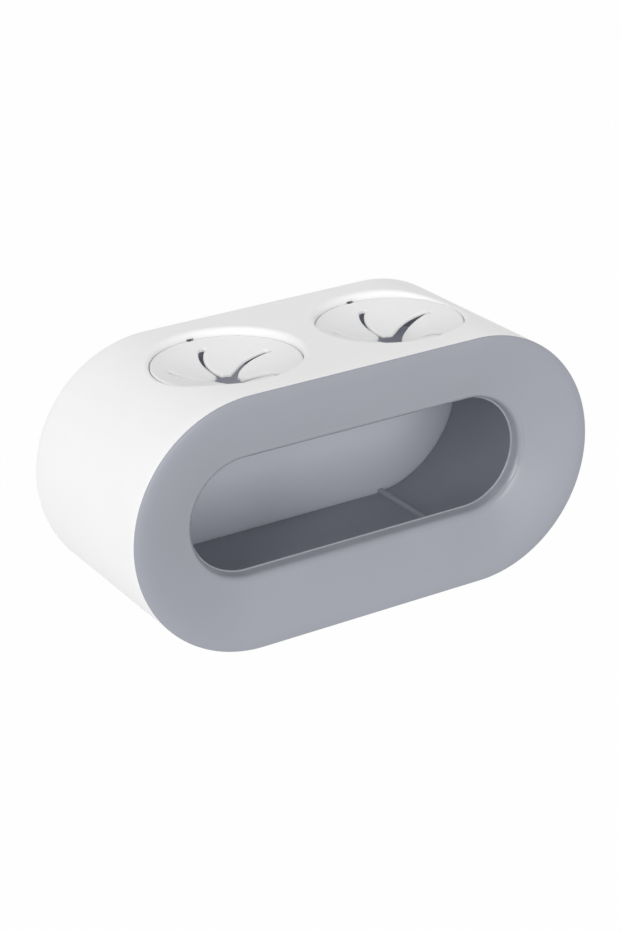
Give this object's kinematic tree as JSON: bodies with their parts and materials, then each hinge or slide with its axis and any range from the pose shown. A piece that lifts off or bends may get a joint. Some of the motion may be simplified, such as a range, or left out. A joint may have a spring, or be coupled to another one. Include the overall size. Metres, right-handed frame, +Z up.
{
  "type": "wall-mounted toothbrush holder",
  "caption": "Stadium-shaped wall holder: white shell, dished grey front with a wide window to a grey pocket, and soft petal clamps in the top that grip brush handles.",
  "frame": {"origin": "centre of the wall side of the middle foam strip, on the wall plane", "axes": "+X along the length to the right seen from the front, +Y into the wall, +Z up"},
  "size_m": [0.118, 0.0509, 0.06],
  "materials": {
    "white_shell": "satin moulded",
    "soft_white": "soft matte moulded",
    "pale_grey": "fine matte moulded",
    "dark_grey": "matte moulded",
    "foam_tape": "matte foam"
  },
  "bodies": {
    "housing": {"outer_shell": "white_shell", "front_bezel": "pale_grey", "inner_liner": "dark_grey", "back_panel": "pale_grey", "tape_left": "foam_tape", "tape_middle": "foam_tape", "tape_right": "foam_tape", "left_clamp_ring": "soft_white", "left_retaining_ring": "white_shell", "right_clamp_ring": "soft_white", "right_retaining_ring": "white_shell"},
    "left_petal_1": {"left_petal_1": "soft_white"},
    "left_petal_2": {"left_petal_2": "soft_white"},
    "left_petal_3": {"left_petal_3": "soft_white"},
    "left_petal_4": {"left_petal_4": "soft_white"},
    "left_petal_5": {"left_petal_5": "soft_white"},
    "right_petal_1": {"right_petal_1": "soft_white"},
    "right_petal_2": {"right_petal_2": "soft_white"},
    "right_petal_3": {"right_petal_3": "soft_white"},
    "right_petal_4": {"right_petal_4": "soft_white"},
    "right_petal_5": {"right_petal_5": "soft_white"}
  },
  "joints": [
    {"name": "left_petal_1_bend", "type": "hinge", "parent": "housing", "child": "left_petal_1", "pos_m": [-0.01503, -0.01852, 0.02562], "axis": [0.7455, -0.6665, 0], "range_deg": [-30, 55], "stiffness_Nm_per_rad": 0.005},
    {"name": "left_petal_2_bend", "type": "hinge", "parent": "housing", "child": "left_petal_2", "pos_m": [-0.01265, -0.02951, 0.02562], "axis": [-0.4035, -0.915, 0], "range_deg": [-30, 55], "stiffness_Nm_per_rad": 0.005},
    {"name": "left_petal_3_bend", "type": "hinge", "parent": "housing", "child": "left_petal_3", "pos_m": [-0.02237, -0.03517, 0.02562], "axis": [-0.9949, 0.1011, 0], "range_deg": [-30, 55], "stiffness_Nm_per_rad": 0.005},
    {"name": "left_petal_4_bend", "type": "hinge", "parent": "housing", "child": "left_petal_4", "pos_m": [-0.03075, -0.02767, 0.02562], "axis": [-0.2113, 0.9774, 0], "range_deg": [-30, 55], "stiffness_Nm_per_rad": 0.005},
    {"name": "left_petal_5_bend", "type": "hinge", "parent": "housing", "child": "left_petal_5", "pos_m": [-0.02621, -0.01738, 0.02562], "axis": [0.8643, 0.503, 0], "range_deg": [-30, 55], "stiffness_Nm_per_rad": 0.005},
    {"name": "right_petal_1_bend", "type": "hinge", "parent": "housing", "child": "right_petal_1", "pos_m": [0.02778, -0.01852, 0.02562], "axis": [0.7455, -0.6665, 0], "range_deg": [-30, 55], "stiffness_Nm_per_rad": 0.005},
    {"name": "right_petal_2_bend", "type": "hinge", "parent": "housing", "child": "right_petal_2", "pos_m": [0.03015, -0.02951, 0.02562], "axis": [-0.4035, -0.915, 0], "range_deg": [-30, 55], "stiffness_Nm_per_rad": 0.005},
    {"name": "right_petal_3_bend", "type": "hinge", "parent": "housing", "child": "right_petal_3", "pos_m": [0.02043, -0.03517, 0.02562], "axis": [-0.9949, 0.1011, 0], "range_deg": [-30, 55], "stiffness_Nm_per_rad": 0.005},
    {"name": "right_petal_4_bend", "type": "hinge", "parent": "housing", "child": "right_petal_4", "pos_m": [0.01205, -0.02767, 0.02562], "axis": [-0.2113, 0.9774, 0], "range_deg": [-30, 55], "stiffness_Nm_per_rad": 0.005},
    {"name": "right_petal_5_bend", "type": "hinge", "parent": "housing", "child": "right_petal_5", "pos_m": [0.01659, -0.01738, 0.02562], "axis": [0.8643, 0.503, 0], "range_deg": [-30, 55], "stiffness_Nm_per_rad": 0.005}
  ]
}
